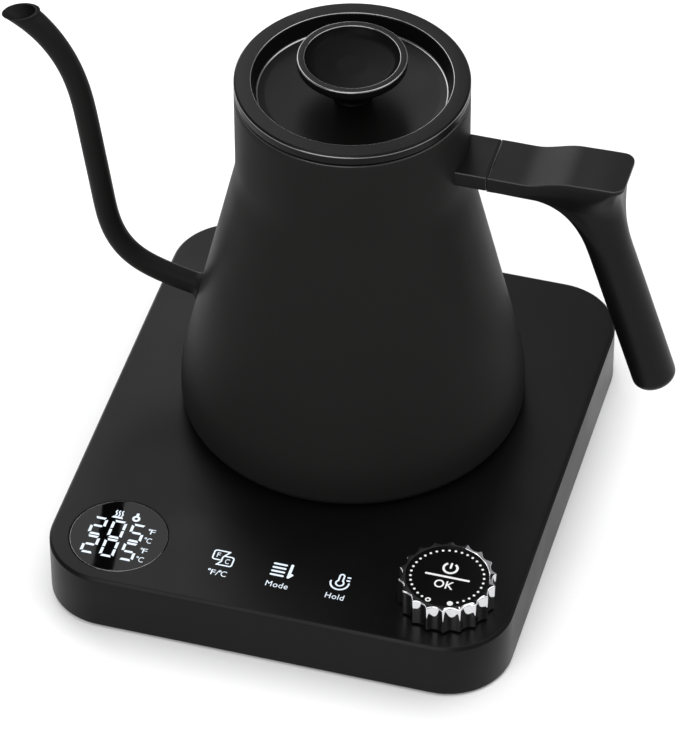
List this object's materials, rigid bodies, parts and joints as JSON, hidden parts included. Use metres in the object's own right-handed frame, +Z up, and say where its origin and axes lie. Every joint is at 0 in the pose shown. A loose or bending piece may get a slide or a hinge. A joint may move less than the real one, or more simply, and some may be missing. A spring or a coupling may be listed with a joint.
{
  "type": "electric gooseneck kettle",
  "caption": "Matt black gooseneck kettle on a square powered base with a round display, touch keys and a fluted press dial.",
  "frame": {"origin": "bottom centre of the whole appliance's bounding box, on the table plane; the base's centre line is 4.6 mm to the +X side of it", "axes": "+Z up, +X towards the handle, -X towards the spout, -Y towards the display and the dial"},
  "size_m": [0.2753, 0.217, 0.2039],
  "materials": {
    "black_housing": "satin black moulded plastic",
    "black_coating": "matt black powder coating on stainless steel",
    "grip_plastic": "soft matt black moulding",
    "black_rubber": "matt rubber",
    "silicone": "translucent grey silicone",
    "window": "smoked window",
    "display": "segment display",
    "board": "green solder mask",
    "component": "moulded electronics",
    "spring_steel": "plated spring",
    "fastener": "zinc-plated steel",
    "steel": "brushed stainless steel",
    "aluminium": "cast",
    "brass": "turned",
    "encoder_plastic": "natural nylon",
    "dial_chrome": "polished chrome",
    "dial_face": "satin black with printed marks"
  },
  "bodies": {
    "base": {"base_top_housing": "black_housing", "base_bottom_cover": "black_housing", "rubber_feet": "black_rubber", "base_screws": "fastener", "display_window": "window", "display_module": "display", "control_board": "board", "touch_springs": "spring_steel", "power_board": "board", "relay": "component", "transformer": "component", "encoder_body": "component", "push_dome": "spring_steel", "encoder_nut": "fastener", "cord_gland": "black_rubber", "cord_clamp": "black_housing", "cord_clamp_screws": "fastener", "connector_socket": "black_housing", "connector_contacts": "brass"},
    "collar": {"connector_collar": "black_housing"},
    "kettle": {"kettle_shell": "black_coating", "spout": "black_coating", "handle_bracket": "grip_plastic", "handle_grip": "grip_plastic", "handle_insert": "steel", "handle_screws": "fastener", "heater_plate": "steel", "heat_spreader": "aluminium", "heating_element": "steel", "dry_boil_control": "component", "temperature_sensor": "steel", "sensor_seal": "silicone", "kettle_connector": "black_housing", "connector_pins": "brass", "kettle_bottom_cover": "black_housing", "kettle_cover_screws": "fastener"},
    "lid": {"lid_shell": "black_coating", "lid_inner_plate": "steel", "lid_gasket": "silicone", "lid_knob": "black_coating", "knob_screw": "fastener", "knob_washer": "fastener"},
    "dial_rotor": {"encoder_rotor": "encoder_plastic"},
    "dial": {"encoder_shaft": "steel", "dial_ring": "dial_chrome", "dial_face": "dial_face"}
  },
  "joints": [
    {"name": "kettle_turn", "type": "hinge", "parent": "base", "child": "collar", "pos_m": [0.0046, 0.023, 0.0267], "axis": [0, 0, 1], "continuous": true},
    {"name": "kettle_lift", "type": "slide", "parent": "collar", "child": "kettle", "axis": [0, 0, 1], "range_m": [0, 0.15]},
    {"name": "lid_lift", "type": "slide", "parent": "kettle", "child": "lid", "axis": [0, 0, 1], "range_m": [0, 0.06]},
    {"name": "dial_turn", "type": "hinge", "parent": "base", "child": "dial_rotor", "pos_m": [0.0722, -0.0816, 0.03], "axis": [0, 0, 1], "continuous": true},
    {"name": "dial_press", "type": "slide", "parent": "dial_rotor", "child": "dial", "axis": [0, 0, 1], "range_m": [-0.0005, 0], "stiffness_N_per_m": 4000, "springref_m": 0.0006}
  ]
}
